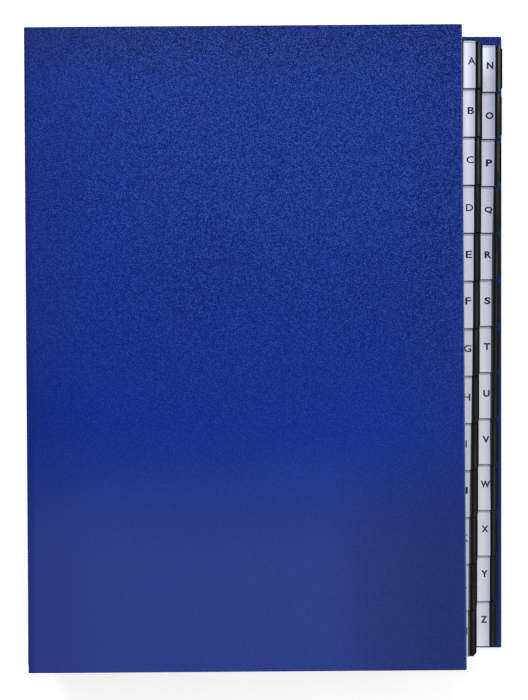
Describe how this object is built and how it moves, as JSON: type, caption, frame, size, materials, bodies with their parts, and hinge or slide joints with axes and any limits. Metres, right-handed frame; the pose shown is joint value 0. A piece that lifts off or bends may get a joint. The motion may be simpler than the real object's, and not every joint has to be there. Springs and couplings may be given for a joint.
{
  "type": "alphabetical file sorter",
  "caption": "Closed desk sorter: two leatherette board covers hold black card dividers with stepped index tabs in paper sleeves, joined by a pleated cloth spine.",
  "frame": {"origin": "middle of the footprint, on the surface that the back cover lies on", "axes": "+X from the spine to the index tabs, +Y up the page towards tab A, +Z from the back cover to the front cover"},
  "size_m": [0.2638, 0.3466, 0.0422],
  "materials": {
    "leatherette": "fine grained, low sheen",
    "grey_board": "matte",
    "liner_paper": "matte",
    "black_card": "smooth matte",
    "spine_cloth": "fine weave",
    "label_paper": "coated, slight sheen"
  },
  "bodies": {
    "block": {"spine_pleats": "spine_cloth", "divider_A": "black_card", "divider_B": "black_card", "divider_C": "black_card", "divider_D": "black_card", "divider_E": "black_card", "divider_F": "black_card", "divider_G": "black_card", "divider_H": "black_card", "divider_I": "black_card", "divider_J": "black_card", "divider_K": "black_card", "divider_L": "black_card", "divider_M": "black_card", "divider_N": "black_card", "divider_O": "black_card", "divider_P": "black_card", "divider_Q": "black_card", "divider_R": "black_card", "divider_S": "black_card", "divider_T": "black_card", "divider_U": "black_card", "divider_V": "black_card", "divider_W": "black_card", "divider_X": "black_card", "divider_Y": "black_card", "divider_Z": "black_card", "label_A": "label_paper", "label_B": "label_paper", "label_C": "label_paper", "label_D": "label_paper", "label_E": "label_paper", "label_F": "label_paper", "label_G": "label_paper", "label_H": "label_paper", "label_I": "label_paper", "label_J": "label_paper", "label_K": "label_paper", "label_L": "label_paper", "label_M": "label_paper", "label_N": "label_paper", "label_O": "label_paper", "label_P": "label_paper", "label_Q": "label_paper", "label_R": "label_paper", "label_S": "label_paper", "label_T": "label_paper", "label_U": "label_paper", "label_V": "label_paper", "label_W": "label_paper", "label_X": "label_paper", "label_Y": "label_paper", "label_Z": "label_paper"},
    "front_cover": {"front_cover_skin": "leatherette", "front_cover_board": "grey_board", "front_cover_liner": "liner_paper"},
    "back_cover": {"back_cover_skin": "leatherette", "back_cover_board": "grey_board", "back_cover_liner": "liner_paper"}
  },
  "joints": [
    {"name": "front_cover_hinge", "type": "hinge", "parent": "block", "child": "front_cover", "pos_m": [-0.13107, -0.00086, 0.03961], "axis": [0.0073, -1, 0], "range_deg": [0, 180]},
    {"name": "back_cover_hinge", "type": "hinge", "parent": "block", "child": "back_cover", "pos_m": [-0.13062, 0, 0.0026], "axis": [0, 1, 0], "range_deg": [0, 180]}
  ]
}
